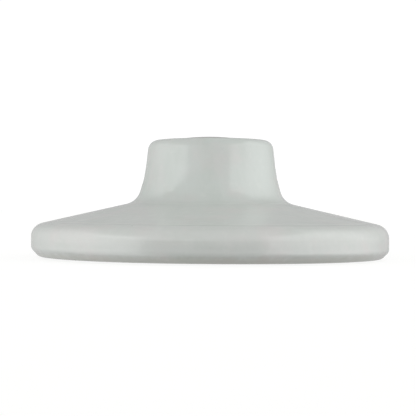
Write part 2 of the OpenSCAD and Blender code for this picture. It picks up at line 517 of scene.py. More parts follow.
class Finish(Graph):
    """A material's nodes, with the object's own coordinates in millimetres at hand."""

    def __init__(self, name: str) -> None:
        """Makes an empty material of that name and reads the object's coordinates."""
        self.material = bpy.data.materials.new(name)
        self.material.use_nodes = True
        super().__init__(self.material.node_tree)
        self.place = self.node("ShaderNodeTexCoord", output="Object")
        axes = [self.node("ShaderNodeSeparateXYZ", None, {0: self.place}, axis) * (1 / MM) for axis in "XYZ"]
        self.x, self.y, self.z = axes
        self.radius = (self.x * self.x + self.y * self.y) ** 0.5

    def moved(self, stretch: Triple = EVENLY, offset: Triple = UNMOVED) -> Value:
        """Object coordinates in millimetres, stretched along each axis, then shifted by offset."""
        size = tuple(factor / MM for factor in stretch)
        return self.node("ShaderNodeMapping", None, {"Vector": self.place, "Scale": size, "Location": offset})

    def noise(self, per_mm: float, detail: float = 3.0, roughness: float = 0.5,
              stretch: Triple = EVENLY, offset: Triple = UNMOVED) -> Value:
        """Smooth noise from 0 to 1.

        Args:
            per_mm: Lumps per millimetre.
            detail: Octaves of finer lumps.
            roughness: Strength of the finer lumps.
            stretch: Factor on each axis before the noise is read.
            offset: Shift that makes one noise differ from another.

        Returns:
            The noise's factor.
        """
        sockets = {"Vector": self.moved(stretch, offset), "Scale": per_mm, "Detail": detail,
                   "Roughness": roughness}
        return self.node("ShaderNodeTexNoise", None, sockets)

    def voronoi(self, per_mm: float, offset: Triple = UNMOVED, feature: str = "F1",
                output: str | None = None) -> Value:
        """Voronoi cells in millimetres.

        Args:
            per_mm: Cells per millimetre.
            offset: Shift that makes one pattern differ from another.
            feature: What the texture measures.
            output: Name of the output, or None for the distance.

        Returns:
            The chosen output.
        """
        sockets = {"Vector": self.moved(offset=offset), "Scale": per_mm}
        return self.node("ShaderNodeTexVoronoi", {"feature": feature}, sockets, output)

    def specks(self, per_mm: float, size: float, offset: Triple = UNMOVED) -> Value:
        """Round specks: 1 at a Voronoi cell's centre, falling to 0 at size of a cell."""
        return self.voronoi(per_mm, offset).step(size, 0.0)

    def cells(self, per_mm: float, offset: Triple = UNMOVED) -> Value:
        """A random number from 0 to 1 for each Voronoi cell."""
        return self.node("ShaderNodeSeparateColor", None, {0: self.voronoi(per_mm, offset, output="Color")})

    def turning(self, across: Value, per_mm: float, wander: float = 0.3) -> Value:
        """Tool marks: noise read closely across the rings, and loosely along X and Y, so that they vary."""
        axes = {0: across * per_mm, 1: self.x * wander, 2: self.y * wander}
        place = self.node("ShaderNodeCombineXYZ", None, axes)
        sockets = {"Vector": place, "Scale": 1.0, "Detail": 3.0, "Roughness": 0.65}
        return self.node("ShaderNodeTexNoise", None, sockets)

    def mix(self, first: Union[Value, Colour], second: Union[Value, Colour], factor: Number) -> Value:
        """Mixes two colours.

        Args:
            first: Colour where the factor is 0.
            second: Colour where the factor is 1.
            factor: How much of the second.

        Returns:
            The mixed colour.
        """
        ends = [c if isinstance(c, Value) else (*c, 1.0) for c in (first, second)]
        sockets = {"Factor_Float": factor, "A_Color": ends[0], "B_Color": ends[1]}
        return self.node("ShaderNodeMix", {"data_type": "RGBA"}, sockets, "Result_Color")

    def bumps(self, *heights: tuple[Value, float]) -> Value:
        """Bump nodes in a chain, each adding to the one before it.

        Args:
            heights: Height fields from 0 to 1, each with what 1 stands for in millimetres.

        Returns:
            The bent normal.
        """
        under: dict[str, Value] = {}
        for height, depth in heights:
            sockets = {"Height": height, "Distance": depth * MM, **under}
            under = {"Normal": self.node("ShaderNodeBump", None, sockets)}
        return under["Normal"]

    def finish(self, **sockets: Any) -> bpy.types.Material:
        """Adds the Principled shader and the output.

        Args:
            sockets: Principled input names, with _ for a space, and their values or links.

        Returns:
            The finished material.
        """
        named = {key.replace("_", " "): value for key, value in sockets.items()}
        shader = self.node("ShaderNodeBsdfPrincipled", None, named)
        self.link(shader, "ShaderNodeOutputMaterial")
        return self.material


# ---- Finishes ----


@dataclass(frozen=True)
class PorcelainGlaze:
    """Pale grey-green glaze with runs and turning bands, bare and rough where the foot stood in the kiln,
    with painted shade darkening the disc's lower edge.
    """

    glaze: Colour = (0.547, 0.583, 0.557)
    pooled: Colour = (0.455, 0.505, 0.462)
    thin: Colour = (0.655, 0.672, 0.645)
    warm: Colour = (0.580, 0.570, 0.555)
    bare: Colour = (0.700, 0.665, 0.600)
    burnt: Colour = (0.420, 0.370, 0.300)
    # Colour of the painted shade on the disc's lower edge.
    lower_edge_shade: Colour = (0.300, 0.285, 0.215)
    speck: Colour = (0.230, 0.215, 0.180)
    gloss: float = 0.13
    streak_depth: float = 0.27
    crease_depth: float = 0.19
    skirt_depth: float = 0.14
    line_depth: float = 0.22
    # Strength of the painted shade on the disc's lower edge.
    lower_edge_shade_depth: float = 0.31
    line_in_r: float = 45.3
    line_out_r: float = 46.0
    skirt_in_r: float = 39.0
    skirt_out_r: float = 45.0

    def material(self, body: "Porcelain") -> bpy.types.Material:
        """Builds the material.

        Args:
            body: The porcelain, for where its crease, edge and foot ring are.

        Returns:
            The material.
        """
        g = Finish("porcelain_glaze")
        foot = body.foot_z
        colour = self._shades(g, body, mottle=g.noise(0.42, 4.0, 0.6, offset=(3.0, 1.0, 7.0)))
        colour = g.mix(colour, self.speck, g.specks(0.16, 0.05) * g.cells(0.16).step(0.86, 0.9) * 0.65)
        # Painted shade: the disc's lower bevel, outside the drip ring, is darkened towards the foot, with its
        # upper edge wobbled by noise.
        shade_wobble = g.noise(0.35, 4.0, 0.65, offset=(6.0, 2.0, 4.0))
        low = (g.z - shade_wobble * 2.4).step(foot + 1.2, foot - 0.6) * g.radius.step(body.drip_r, body.drip_r + 4.0)
        colour = g.mix(colour, self.lower_edge_shade, low * self.lower_edge_shade_depth)
        wobble = g.noise(0.5, 2.0, 0.5, offset=(9.0, 4.0, 2.0)) * 0.3
        bare = g.radius.band(body.core_r + 0.2, body.foot_r - 0.1, 0.35)
        bare = bare * (g.z - wobble).step(foot + 0.55, foot + 0.25)
        fired = g.mix(self.bare, self.burnt, g.noise(0.25, 4.0, 0.7).step(0.5, 0.85) * 0.6)
        colour = g.mix(colour, fired, bare)
        sheen = self.gloss + (g.noise(0.3, 3.0, 0.6, offset=(5.0, 5.0, 5.0)) - 0.5) * 0.09
        pinholes = g.specks(0.5, 0.07, (2.0, 2.0, 2.0)) * g.cells(0.5, (2.0, 2.0, 2.0)).step(0.9, 0.93)
        normal = g.bumps(
            (g.noise(0.55, 2.0, 0.4, offset=(1.0, 8.0, 3.0)), 0.03),
            (self._line(g), -0.03),
            (pinholes, -0.06),
            (g.noise(7.0, 3.0, 0.7) * bare, 0.08),
        )
        return g.finish(Base_Color=colour, Roughness=sheen * (1 - bare) + bare * 0.8, Normal=normal, IOR=1.58)

    def _line(self, g: Finish) -> Value:
        """A fine turned line where the disc's upper face meets its rounded edge."""
        return (g.radius - g.noise(0.12, 2.0, 0.5) * 1.2).band(self.line_in_r, self.line_out_r, 0.7)

    def _shades(self, g: Finish, body: "Porcelain", mottle: Value) -> Value:
        """Colour of the glaze where it ran, pooled or drew thin.

        Runs are noise stretched down the boss, bands are noise flattened on the disc. Glaze pools round the
        foot of the boss and over the upper slope, in a skirt inside the edge, in the underside's rings
        and in the turned line, and it thins on the edges. The disc is a little warmer than the boss.

        Args:
            g: The material's nodes.
            body: The porcelain.
            mottle: Noise that breaks up the thin places.

        Returns:
            The colour.
        """
        foot = body.foot_z
        boss = g.radius.step(24.0, 19.5)
        runs = g.noise(0.17, 3.0, 0.5, stretch=(1.0, 1.0, 0.3), offset=(2.0, 5.0, 1.0)).step(0.46, 0.72)
        bands = g.noise(0.07, 4.0, 0.55, stretch=(1.0, 1.0, 4.0), offset=(7.0, 3.0, 2.0)).step(0.46, 0.72)
        streak = runs * boss + bands * (1 - boss)
        crease = g.radius.band(body.boss_foot_r + 1.5, body.boss_foot_r + 14.0, 3.5)
        crease = crease * g.z.step(foot + 6.0, foot + 9.0)
        hollow = g.z.band(foot + 3.4, foot + 3.9, 0.6) * g.radius.step(body.drip_r, body.drip_r - 1.0)
        skirt = g.radius.band(self.skirt_in_r, self.skirt_out_r, 4.0) * g.z.step(foot + 5.0, foot + 8.0)
        pooling = (crease * self.crease_depth).most(hollow).most(skirt * self.skirt_depth)
        pooling = pooling.most(self._line(g) * self.line_depth) + (0.42 - mottle).most(0.0) * 0.8
        edge = g.radius.step(body.disc_r - 1.9, body.disc_r - 0.6) * g.z.band(foot + 5.5, foot + 8.0, 1.5)
        lip = g.radius.band(body.seat_r + 0.2, body.seat_r + 2.2, 0.8)
        lip = lip * g.z.step(body.top_z - 0.6, body.top_z)
        thinning = edge.most(lip) * (mottle * 0.8 + 0.2)
        patches = g.noise(0.09, 3.0, 0.6, offset=(4.0, 4.0, 9.0)).step(0.45, 0.7)
        colour = g.mix(self.glaze, self.warm, patches * 0.6 + (1 - boss) * 0.3)
        colour = g.mix(colour, self.pooled, (streak * self.streak_depth + pooling).least(1.0))
        return g.mix(colour, self.thin, thinning * 0.4 + (mottle - 0.56).most(0.0) * 1.1)


@dataclass(frozen=True)
class TurnedBrass:
    """Brass cut from bar: ring marks from the lathe under a thin brown tarnish."""

    bright: Colour = (0.780, 0.600, 0.300)
    tarnish: Colour = (0.330, 0.215, 0.095)
    cement_smear: Colour = (0.500, 0.480, 0.430)

    def material(self) -> bpy.types.Material:
        """Builds the material."""
        g = Finish("turned_brass")
        rings = g.turning(g.radius, 6.0)
        bloom = g.noise(0.35, 5.0, 0.65)
        colour = g.mix(self.bright, self.tarnish, bloom.step(0.42, 0.78) * 0.75 + rings * 0.12)
        smear = g.noise(0.9, 4.0, 0.7, offset=(4.0, 2.0, 1.0)).step(0.62, 0.7) * g.radius.step(6.5, 9.0)
        colour = g.mix(colour, self.cement_smear, smear)
        roughness = 0.26 + bloom * 0.22 + smear * 0.4
        normal = g.bumps((rings, 0.03))
        return g.finish(Base_Color=colour, Metallic=1 - smear, Roughness=roughness, Normal=normal)


@dataclass(frozen=True)
class SatinNickel:
    """Nickel plate over a turned steel head, rubbed brighter near the edge."""

    plate: Colour = (0.500, 0.487, 0.460)
    dull: Colour = (0.330, 0.322, 0.305)

    def material(self, head_radius: float) -> bpy.types.Material:
        """Builds the material.

        Args:
            head_radius: Radius of the screw's head in millimetres.

        Returns:
            The material.
        """
        g = Finish("satin_nickel")
        rings = g.turning(g.radius, 9.0, 0.15)
        cloud = g.noise(0.3, 4.0, 0.6)
        rub = g.radius.step(head_radius - 1.4, head_radius - 0.2)
        scratch = g.noise(1.2, 2.0, 0.5, stretch=(0.12, 3.0, 1.0), offset=(1.0, 2.0, 3.0)).step(0.66, 0.72)
        colour = g.mix(self.plate, self.dull, (cloud - 0.3) * 0.9 + rings * 0.15 - rub * 0.2)
        roughness = 0.28 + cloud * 0.18 + scratch * 0.12 - rub * 0.08
        normal = g.bumps((rings, 0.012), (scratch, -0.008))
        return g.finish(Base_Color=colour, Metallic=1.0, Roughness=roughness, Normal=normal)


@dataclass(frozen=True)
class TumbledStainless:
    """Pressed stainless sheet, tumbled to a fine grey bloom."""

    steel: Colour = (0.560, 0.555, 0.545)
    shade: Colour = (0.380, 0.375, 0.365)

    def material(self) -> bpy.types.Material:
        """Builds the material."""
        g = Finish("tumbled_stainless")
        dents = g.noise(2.2, 4.0, 0.6)
        cloud = g.noise(0.4, 3.0, 0.6, offset=(2.0, 7.0, 1.0))
        colour = g.mix(self.steel, self.shade, cloud.step(0.35, 0.8) * 0.7)
        normal = g.bumps((dents, 0.02))
        return g.finish(Base_Color=colour, Metallic=1.0, Roughness=0.3 + dents * 0.2, Normal=normal)


@dataclass(frozen=True)
class SetCement:
    """Grey cement with sand grains and small air holes."""

    paste: Colour = (0.400, 0.385, 0.355)
    pale: Colour = (0.560, 0.545, 0.510)
    sand: Colour = (0.250, 0.225, 0.190)
    hole: Colour = (0.120, 0.110, 0.100)

    def material(self) -> bpy.types.Material:
        """Builds the material."""
        g = Finish("set_cement")
        bloom = g.noise(0.4, 5.0, 0.65)
        grains = g.cells(2.4)
        holes = g.specks(0.9, 0.22) * g.cells(0.9).step(0.6, 0.65)
        colour = g.mix(self.paste, self.pale, bloom.step(0.35, 0.75))
        colour = g.mix(colour, self.sand, grains.step(0.75, 0.8) * 0.6)
        colour = g.mix(colour, self.hole, holes * 0.8)
        normal = g.bumps((g.noise(3.0, 4.0, 0.7), 0.12), (holes, -0.25))
        return g.finish(Base_Color=colour, Roughness=0.82 + bloom * 0.12, Normal=normal)


@dataclass(frozen=True)
class PressedCork:
    """Cork granules pressed into sheet."""

    light: Colour = (0.560, 0.380, 0.210)
    dark: Colour = (0.210, 0.120, 0.060)
    per_mm: float = 0.9

    def material(self) -> bpy.types.Material:
        """Builds the material."""
        g = Finish("pressed_cork")
        granule = g.cells(self.per_mm)
        seam = g.voronoi(self.per_mm, feature="DISTANCE_TO_EDGE").step(0.08, 0.0)
        colour = g.mix(self.light, self.dark, granule * 0.45 + seam * 0.5)
        normal = g.bumps((seam, -0.1))
        return g.finish(Base_Color=colour, Roughness=0.85 + granule * 0.1, Normal=normal)


@dataclass(frozen=True)
class MouldedRubber:
    """Black moulded rubber with a little pale bloom and dust."""

    rubber: Colour = (0.022, 0.022, 0.024)
    bloom: Colour = (0.085, 0.083, 0.078)

    def material(self) -> bpy.types.Material:
        """Builds the material."""
        g = Finish("moulded_rubber")
        dust = g.noise(0.5, 5.0, 0.7)
        colour = g.mix(self.rubber, self.bloom, dust.step(0.45, 0.85) * 0.8)
        normal = g.bumps((g.noise(5.0, 3.0, 0.6), 0.03))
        return g.finish(Base_Color=colour, Roughness=0.55 + dust * 0.25, Normal=normal)


# ---- The porcelain ----


@dataclass
class Porcelain:
    """The one-piece porcelain: disc, flared boss, wire seat, rings and cavities underneath."""

    foot_z: float
    top_z: float
    disc_r: float
    disc_edge_h: float = 8.8
    disc_upper_round: float = 4.0
    lower_bevel: float = 2.0
    slope_rise: float = 0.231
    boss_foot_r: float = 20.8
    boss_foot_round: float = 5.0
    boss_waist_drop: float = 11.0
    boss_waist_flare: float = 1.2
    boss_waist_round: float = 32.0
    boss_top_r: float = 17.4
    boss_top_round: float = 2.7
    seat_r: float = 11.5
    seat_depth: float = 3.05
    groove_half: float = 2.35
    hub_r: float = 15.0
    core_r: float = 24.5
    ring_depth: float = 3.6
    gasket_in_r: float = 27.0
    gasket_out_r: float = 32.5
    gasket_groove: float = 1.5
    foot_r: float = 35.5
    drip_r: float = 43.0
    base_cavity_r: float = 11.75
    base_cavity_h: float = 13.0
    head_cavity_r: float = 9.0
    head_cavity_depth: float = 9.8
    ring_lean: float = 0.4
    ring_rounds: Triple = (1.0, 1.8, 1.0)
    drip_rounds: Triple = (1.0, 2.4, 1.8)
    gasket_rounds: Triple = (0.15, 0.15, 0.15)
    bevel_low_round: float = 1.6
    bevel_high_round: float = 1.7
    seat_round: float = 0.6
    cavity_round: float = 0.6
    base_mouth_round: float = 0.4
    head_mouth_round: float = 0.3
    unevenness: float = 0.045
    even_columns: int = 210
    groove_turn: float = 13.0
    groove_turn_step: float = 0.65
    edge_lift: float = 0.34
    lip_fall: float = 0.16
    lip_depth: float = 4.0

    @classmethod
    def from_frame(cls) -> "Porcelain":
        """Takes the foot, the top and the disc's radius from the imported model."""
        return cls(*span_mm("porcelain_body"))

    def trough(self, inner: float, outer: float, depth: float, lean: float,
               rounds: Triple) -> list[Corner]:
        """Four corners of a trough cut up into the foot.

        Args:
            inner: Radius of its inner wall at the foot.
            outer: Radius of its outer wall at the foot.
            depth: How deep it is.
            lean: How far each wall leans in on the way up.
            rounds: Rounding of its inner edge, its two deep corners and its outer edge.

        Returns:
            The corners.
        """
        foot, roof = self.foot_z, self.foot_z + depth
        near, deep, far = rounds
        deep_corners = [(inner + lean, roof, deep), (outer - lean, roof, deep)]
        return [(inner, foot, near), *deep_corners, (outer, foot, far)]

    def corners(self) -> list[Corner]:
        """Corners of the outline, from the base cavity's roof out, over the boss and into the head cavity."""
        foot, top = self.foot_z, self.top_z
        seat, roof = top - self.seat_depth, foot + self.base_cavity_h
        boss_foot_z = foot + self.disc_edge_h + self.slope_rise * (self.disc_r - self.boss_foot_r)
        return [
            (0, roof, 0),
            (self.base_cavity_r, roof, self.cavity_round),
            (self.base_cavity_r, foot, self.base_mouth_round),
            *self.trough(self.hub_r, self.core_r, self.ring_depth, self.ring_lean, self.ring_rounds),
            *self.trough(self.gasket_in_r, self.gasket_out_r, self.gasket_groove, 0, self.gasket_rounds),
            *self.trough(self.foot_r, self.drip_r, self.ring_depth, self.ring_lean, self.drip_rounds),
            (self.disc_r - self.lower_bevel, foot, self.bevel_low_round),
            (self.disc_r, foot + self.lower_bevel, self.bevel_high_round),
            (self.disc_r, foot + self.disc_edge_h, self.disc_upper_round),
            (self.boss_foot_r, boss_foot_z, self.boss_foot_round),
            (self.boss_top_r + self.boss_waist_flare, top - self.boss_waist_drop, self.boss_waist_round),
            (self.boss_top_r, top, self.boss_top_round),
            (self.seat_r, top, self.seat_round),
            (self.seat_r, seat, self.seat_round),
            (self.head_cavity_r, seat, self.head_mouth_round),
            (self.head_cavity_r, seat - self.head_cavity_depth, self.cavity_round),
            (0, seat - self.head_cavity_depth, 0),
        ]

    def columns(self) -> np.ndarray:
        """Angles round the axis: even ones, with closer ones where the wire groove crosses the lip."""
        even = round_angles(self.even_columns)
        near = np.radians(np.arange(-self.groove_turn, self.groove_turn + 0.01, self.groove_turn_step))
        close = np.mod(np.concatenate([near, near + math.pi]), 2 * math.pi)
        off_axis = np.abs(np.mod(even + math.pi / 2, math.pi) - math.pi / 2)
        clear = off_axis > np.radians(self.groove_turn + self.groove_turn_step)
        return np.sort(np.concatenate([even[clear], close]))

    def build(self) -> bpy.types.Object:
        """The outline carried round the axis, made uneven and grooved for the wire.

        The unevenness is a sum of cosines, shifted down and clipped, so that it only takes material off
        and the piece stays inside its box. It runs from the drip ring's outer wall up over the lip.

        Returns:
            The piece.
        """
        rim = outline(self.corners())
        theta = self.columns()
        along = np.concatenate([[0], np.cumsum(np.linalg.norm(np.diff(rim, axis=0), axis=1))])
        radius, height = rim[:, :1] + 0 * theta, rim[:, 1:] + 0 * theta
        order = np.arange(len(rim))[:, None]
        shift, deepest, lip_rows = 2.2, 4.0, 4
        past_drip, at_top = np.argmax(rim[:, 0] > self.drip_r), np.argmax(rim[:, 1] >= self.top_z - 1e-6)
        outside = (order > past_drip) & (order < at_top + lip_rows)
        off = self.unevenness * (waves(theta, along[:, None], 11) - shift).clip(-deepest, 0)
        radius = np.where(outside, radius + off, radius)
        height = self._pressed(radius, height, theta)
        height = self._grooved(radius, height, theta)
        return turned_piece("porcelain", theta, radius, height)

    def _pressed(self, radius: np.ndarray, height: np.ndarray, theta: np.ndarray) -> np.ndarray:
        """Makes the -X side a little different from the other, as the piece left the press.

        Towards -X the disc's lower edge rises, as one minus the angle's cosine, and the boss's lip falls,
        most at its outer corner.

        Args:
            radius: Radii of the points.
            height: Heights of the points.
            theta: Angles of the points.

        Returns:
            The new heights.
        """
        side = -np.cos(theta)
        edge = np.clip((radius - self.drip_r) / (self.disc_r - self.drip_r), 0, 1) ** 2
        low = np.clip(1 - (height - self.foot_z) / self.disc_edge_h, 0, 1)
        lifted = height + edge * low * self.edge_lift * (side + 1)
        outward = np.clip((radius - self.seat_r) / (self.boss_top_r - self.seat_r), 0, 1)
        near_top = np.clip((height - self.top_z + self.lip_depth) / self.lip_depth, 0, 1)
        return lifted - outward * near_top * self.lip_fall * np.clip(side + 0.3, 0, 2)

    def _grooved(self, radius: np.ndarray, height: np.ndarray, theta: np.ndarray) -> np.ndarray:
        """Lowers the lip of the wire seat where the groove crosses it.

        A point's height above the seat becomes the lesser of itself and the fourth power of its distance
        from the groove's middle. The seat's wall is scaled to fit under that instead.

        Args:
            radius: Radii of the points.
            height: Heights of the points.
            theta: Angles of the points.

        Returns:
            The new heights.
        """
        seat = self.top_z - self.seat_depth
        across = np.abs(radius * np.sin(theta)) / self.groove_half
        floor = 0.05 + (self.seat_depth + 0.3) * across ** 4
        above = height - seat
        lip = (radius > self.seat_r - 0.2) & (above > 0) & (radius < self.boss_top_r + 1)
        wall = radius < self.seat_r + 0.02
        scaled = above / self.seat_depth * self._soft_least(np.full_like(above, self.seat_depth), floor)
        return np.where(lip, seat + np.where(wall, scaled, self._soft_least(above, floor)), height)

    @staticmethod
    def _soft_least(first: np.ndarray, second: np.ndarray, blend: float = 0.35) -> np.ndarray:
        """The smaller of two arrays, with the change from one to the other rounded over blend."""
        gap = np.clip(0.5 + 0.5 * (second - first) / blend, 0, 1)
        return second * (1 - gap) + first * gap - blend * gap * (1 - gap)

    def assemble(self) -> None:
        """Builds the piece, glazes it, ties it to its body and hides its node."""
        piece = self.build()
        place_piece(piece, PorcelainGlaze().material(self), Body.INSULATOR, "porcelain_body")


# ---- Bushes set in cement ----


@dataclass
class CementedBush:
    """A threaded bush of hexagon bar, the cement round it and the cork disc behind it.

    Here into is 1 where the bore goes up into the piece and -1 where it goes down.
    """

    place: str
    thread: Thread
    cavity_r: float
    across_flats: float
    mouth_z: float
    back_z: float
    bore_length: float
    bevel: float
    into: int
    setback: float = 0.4
    flat_margin: float = 0.35
    per_pitch: int = 20
    columns: int = 120

    @classmethod
    def base(cls, porcelain: Porcelain) -> "CementedBush":
        """The bush in the underside, which takes the bolt from the post."""
        low, high, half = span_mm("base_bush")
        return cls("base", Thread.M10, porcelain.base_cavity_r, 2 * half, mouth_z=low, back_z=high,
                   bore_length=10.5, bevel=0.9, into=1)

    @classmethod
    def head(cls, porcelain: Porcelain) -> "CementedBush":
        """The bush in the boss, which takes the terminal screw."""
        low, high, half = span_mm("head_bush")
        return cls("head", Thread.M8, porcelain.head_cavity_r, 2 * half, mouth_z=high, back_z=low,
                   bore_length=8.4, bevel=0.6, into=-1)

    def build_bush(self) -> bpy.types.Object:
        """The bush as one surface, from the blind end of its bore round to its closed back.

        In the bore the radius is the thread's minor radius plus its depth times one minus the ridge, faded
        out at the blind end. Outside it is the hexagon's, with its corners turned off at both ends.

        Returns:
            The piece.
        """
        theta = round_angles(self.columns)
        into, mouth, back = self.into, self.mouth_z, self.back_z
        pitch, depth = self.thread.pitch, self.thread.depth
        minor = self.thread.radius - depth + 0.06
        bottom, start = mouth + into * self.bore_length, mouth + into * self.bevel
        turns = int((self.bore_length - self.bevel) / pitch * self.per_pitch)
        bore_z = np.linspace(bottom, start, turns)[:, None]
        fade = np.clip(np.abs(bore_z - bottom) / 1.2, 0, 1)
        bore_r = minor + (1 - thread_ridge(theta, bore_z, pitch, 0.5)) * (depth + 0.04) * fade
        bar = hexagon(theta, self.across_flats, 0.25)
        mouth_r, face_r = minor + self.bevel, self.across_flats / 2 - self.flat_margin
        blind = [(0.0, bottom + into * 0.6), (minor * 0.55, bottom + into * 0.35)]
        blind_r, blind_z = level_rows(theta, blind)
        outer_r, outer_z = level_rows(theta, [
            (minor + self.bevel * 0.5, start - into * self.bevel * 0.5),
            (mouth_r + 0.02, mouth + into * 0.04),
            (mouth_r + 0.12, mouth),
            ((mouth_r + face_r) / 2, mouth),
            (face_r, mouth),
            (np.minimum(bar, self.across_flats / 2 + 0.1), mouth + into * 0.12),
            (bar, mouth + into * 0.9),
            (bar, mouth + into * 1.1),
            (bar, back - into * 0.3),
            (bar - 0.3, back),
            (bar * 0.5, back),
            (0.0, back),
        ])
        radius = np.concatenate([blind_r, bore_r, outer_r])
        height = np.concatenate([blind_z, bore_z, outer_z])
        return turned_piece(f"{self.place}_threaded_bush", theta, radius, height)

    def build_cement(self) -> bpy.types.Object:
        """The cement as a ring: out across its rough face, along the cavity and back along the hexagon.

        The face sags between the bush and the porcelain as a shallow bowl and carries fine waves.

        Returns:
            The piece.
        """
        theta = round_angles(self.columns * 2)
        face = self.mouth_z + self.into * self.setback
        across = np.linspace(0, 1, 14)[:, None]
        bar = hexagon(theta, self.across_flats, 0.2)
        face_r = bar + (self.cavity_r - bar) * across
        bowl = 0.22 * (1 - (2 * across - 1) ** 2) - 0.3 * (1 - across) ** 8 - 0.25 * across ** 8
        ripple = 0.03 * waves(theta * 5, 40 * across, 5, 9) * np.sin(math.pi * across)
        face_z = face + self.into * (bowl + ripple)
        down = np.array([0.35, 0.7, 1.0])[:, None]
        wall_z = face + (self.back_z - face) * down + 0 * theta
        radius = np.concatenate([face_r, self.cavity_r + 0 * wall_z, bar + 0 * wall_z])
        height = np.concatenate([face_z, wall_z, wall_z[::-1]])
        return turned_piece(f"{self.place}_set_cement", theta, radius, height, ring=True)

    def assemble(self, brass: bpy.types.Material, cement: bpy.types.Material,
                 cork: bpy.types.Material) -> None:
        """Builds and places the bush and its cement, and dresses the cork disc behind them.

        Args:
            brass: The bush's material.
            cement: The cement's material.
            cork: The disc's material.
        """
        place_piece(self.build_bush(), brass, Body.INSULATOR, f"{self.place}_bush")
        place_piece(self.build_cement(), cement, Body.INSULATOR, f"{self.place}_cement")
        redress(f"{self.place}_cork_disc", cork)


# ---- Gasket ----


@dataclass
class Gasket:
    """Moulded ring in the foot: three sealing ribs on the face that meets the post."""

    low: float
    high: float
    outer: float
    inner: float
    groove: float = 0.22
    ribs: int = 3
    plain_edge: float = 0.06
    clearance: float = 0.02

    @classmethod
    def from_frame(cls, porcelain: Porcelain) -> "Gasket":
        """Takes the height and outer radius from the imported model, the inner one from the porcelain."""
        return cls(*span_mm("base_gasket"), porcelain.gasket_in_r)

    def build(self) -> bpy.types.Object:
        """A loop of the ring's section, with round-bottomed grooves between the ribs, carried round."""
        across = np.linspace(self.plain_edge, 1 - self.plain_edge, 45)
        turn = 2 * math.pi * self.ribs * (across - self.plain_edge) / (1 - 2 * self.plain_edge)
        face_z = self.low + self.groove * (0.5 - 0.5 * np.cos(turn)) ** 1.5
        face = np.stack([self.inner + (self.outer - self.inner) * across, face_z], axis=1)
        inner, outer = self.inner + self.clearance, self.outer - self.clearance
        sides = outline([
            (outer, self.low + 0.02, 0.25),
            (outer, self.high, 0.2),
            (inner, self.high, 0.2),
            (inner, self.low + 0.02, 0.25),
        ], 1.0, ARC_STEP)
        return ring_piece("sealing_gasket", np.concatenate([face, sides]), 240)

    def assemble(self) -> None:
        """Builds the ring, dresses it, ties it to its body and hides its node."""
        place_piece(self.build(), MouldedRubber().material(), Body.INSULATOR, "base_gasket")


# ---- Terminal ----


